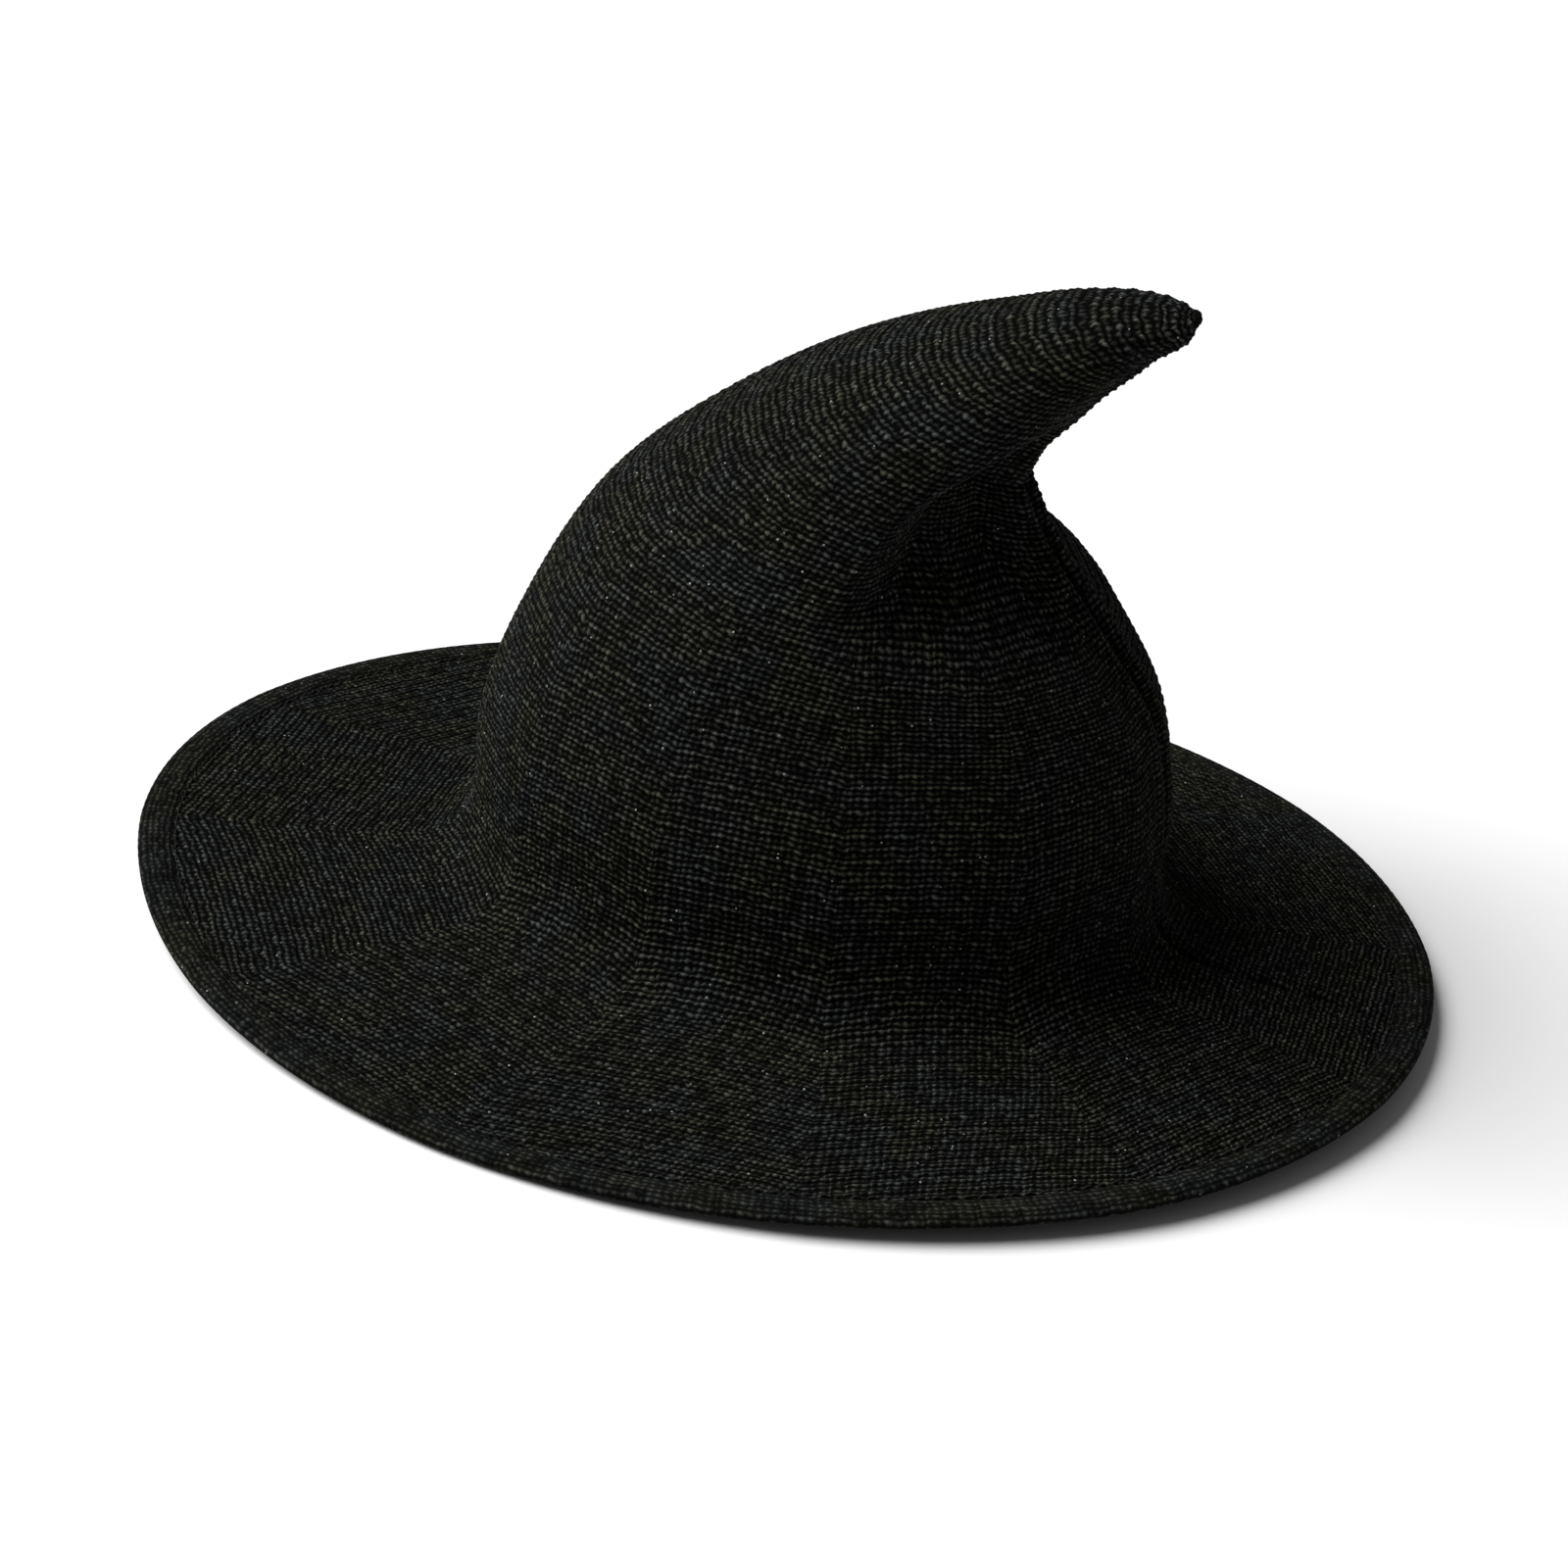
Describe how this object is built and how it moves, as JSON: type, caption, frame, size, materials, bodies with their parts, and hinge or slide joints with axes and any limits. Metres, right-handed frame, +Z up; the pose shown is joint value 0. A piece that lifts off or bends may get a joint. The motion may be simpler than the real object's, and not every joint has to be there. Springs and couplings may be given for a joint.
{
  "type": "witch hat",
  "caption": "Black knitted witch hat with a wide wired brim and a tall crown whose soft tip folds back over the seam; brim flaps and tip bend.",
  "frame": {"origin": "middle of the brim's outline, on the surface the brim rests on", "axes": "+Z up, +X towards the back seam and the folded tip, -X the wearer's front, -Y the wearer's left"},
  "size_m": [0.382, 0.348, 0.208],
  "materials": {
    "knit": "soft matt knit, black, with sparse metallic flecks",
    "hem": "soft matt knit, turned under, slightly fuzzy",
    "wire": "drawn steel",
    "ferrule": "crimped, satin",
    "thread": "black sewing thread",
    "ribbon": "ribbed grosgrain ribbon, black",
    "label": "blank satin label"
  },
  "bodies": {
    "crown": {"crown_knit": "knit", "crown_seam_allowance": "knit", "brim_sides_knit": "knit", "hem_left": "hem", "hem_right": "hem", "hem_wire_left": "wire", "hem_wire_right": "wire", "hem_stitching_left": "thread", "hem_stitching_right": "thread", "sweatband": "ribbon", "sweatband_tab": "ribbon", "sweatband_stitching": "thread", "care_label": "label"},
    "tip": {"tip_knit": "knit", "tip_seam_allowance": "knit"},
    "front_brim": {"brim_front_knit": "knit", "hem_front": "hem", "hem_wire_front": "wire", "hem_stitching_front": "thread"},
    "back_brim": {"brim_back_knit": "knit", "brim_seam_allowance": "knit", "hem_back": "hem", "hem_wire_back": "wire", "hem_stitching_back": "thread", "wire_ferrule": "ferrule"}
  },
  "joints": [
    {"name": "tip_fold", "type": "hinge", "parent": "crown", "child": "tip", "pos_m": [-0.01596, 0, 0.17028], "axis": [0, -1, 0], "range_deg": [-10, 40]},
    {"name": "front_brim_turn", "type": "hinge", "parent": "crown", "child": "front_brim", "pos_m": [-0.1205, 0, 0.009], "axis": [0, 1, 0], "range_deg": [-20, 60]},
    {"name": "back_brim_turn", "type": "hinge", "parent": "crown", "child": "back_brim", "pos_m": [0.1335, 0, 0.009], "axis": [0, -1, 0], "range_deg": [-20, 60]}
  ]
}
